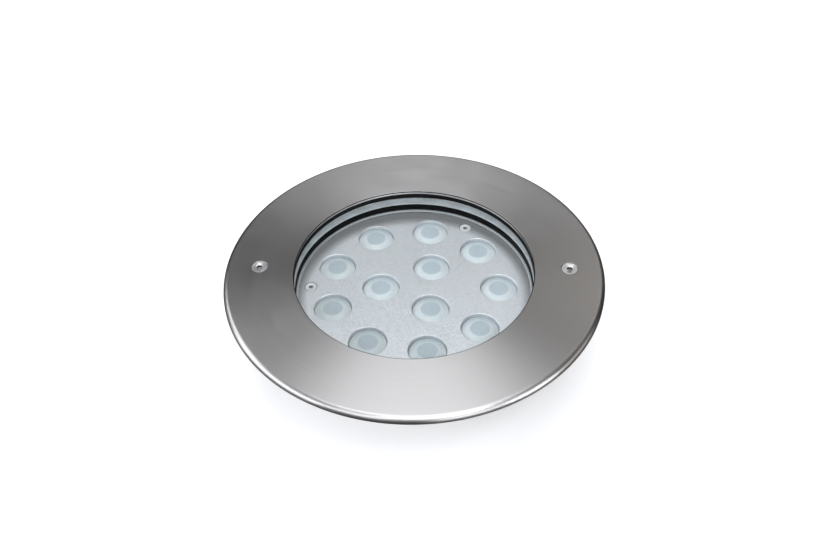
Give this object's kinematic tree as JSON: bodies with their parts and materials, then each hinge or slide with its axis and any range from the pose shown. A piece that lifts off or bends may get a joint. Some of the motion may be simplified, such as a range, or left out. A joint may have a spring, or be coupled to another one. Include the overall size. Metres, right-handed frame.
{
  "type": "underwater light",
  "caption": "Round recessed underwater light: flat steel face ring over a thick sealed glass, lenses in a cover plate, cup body with a neck and side cable gland.",
  "frame": {"origin": "on the axis of the light, in the plane where the face ring's rim seats on its niche", "axes": "+Z out of the window, +X through the right-hand face screw, +Y towards the cable gland"},
  "size_m": [0.225, 0.225, 0.076],
  "materials": {
    "ring_steel": "turned and circular brushed",
    "screw_steel": "bright",
    "clip_nylon": "moulded",
    "body_steel": "turned",
    "seal_black": "moulded",
    "window_glass": "polished, tempered",
    "seal_grey": "moulded silicone",
    "baffle_black": "matt",
    "plate_aluminium": "sand-blasted",
    "lens_frosted": "frosted",
    "led_yellow": "phosphor under silicone",
    "board_white": "solder mask",
    "pad_grey": "soft",
    "spreader_aluminium": "turned",
    "post_brass": "turned",
    "lead_red": "insulation",
    "lead_black": "insulation",
    "driver_green": "solder mask",
    "ferrite_grey": "sintered",
    "sleeve_blue": "shrink sleeve",
    "chip_black": "moulded",
    "terminal_green": "moulded",
    "gland_metal": "nickel-plated"
  },
  "bodies": {
    "body": {"face_ring": "ring_steel", "clamp_ring": "body_steel", "clamp_screws": "screw_steel", "glass_gasket_upper": "seal_black", "glass": "window_glass", "glass_gasket_lower": "seal_grey", "housing": "body_steel", "baffle_ring": "baffle_black", "cover_plate": "plate_aluminium", "cover_screws": "screw_steel", "cover_posts": "post_brass", "lens_1": "lens_frosted", "lens_2": "lens_frosted", "lens_3": "lens_frosted", "lens_4": "lens_frosted", "lens_5": "lens_frosted", "lens_6": "lens_frosted", "lens_7": "lens_frosted", "lens_8": "lens_frosted", "lens_9": "lens_frosted", "lens_10": "lens_frosted", "lens_11": "lens_frosted", "lens_12": "lens_frosted", "led_1": "led_yellow", "led_2": "led_yellow", "led_3": "led_yellow", "led_4": "led_yellow", "led_5": "led_yellow", "led_6": "led_yellow", "led_7": "led_yellow", "led_8": "led_yellow", "led_9": "led_yellow", "led_10": "led_yellow", "led_11": "led_yellow", "led_12": "led_yellow", "led_board": "board_white", "thermal_pad": "pad_grey", "heat_spreader": "spreader_aluminium", "spreader_screws": "screw_steel", "led_lead_red": "lead_red", "led_lead_black": "lead_black", "driver_board": "driver_green", "driver_standoffs": "post_brass", "driver_screws": "screw_steel", "driver_inductor": "ferrite_grey", "driver_capacitors": "sleeve_blue", "driver_chip": "chip_black", "terminal_block": "terminal_green", "rear_cover": "body_steel", "rear_o_ring": "seal_black", "rear_cover_screws": "screw_steel", "gland_body": "gland_metal", "gland_o_ring": "seal_black", "gland_seal": "seal_black", "gland_nut": "gland_metal"},
    "left_screw": {"ring_screw_left": "screw_steel", "screw_clip_left": "clip_nylon"},
    "right_screw": {"ring_screw_right": "screw_steel", "screw_clip_right": "clip_nylon"}
  },
  "joints": [
    {"name": "left_screw_turn", "type": "hinge", "parent": "body", "child": "left_screw", "pos_m": [-0.092, 0, 0], "axis": [0, 0, 1], "continuous": true},
    {"name": "right_screw_turn", "type": "hinge", "parent": "body", "child": "right_screw", "pos_m": [0.092, 0, 0], "axis": [0, 0, 1], "continuous": true}
  ]
}
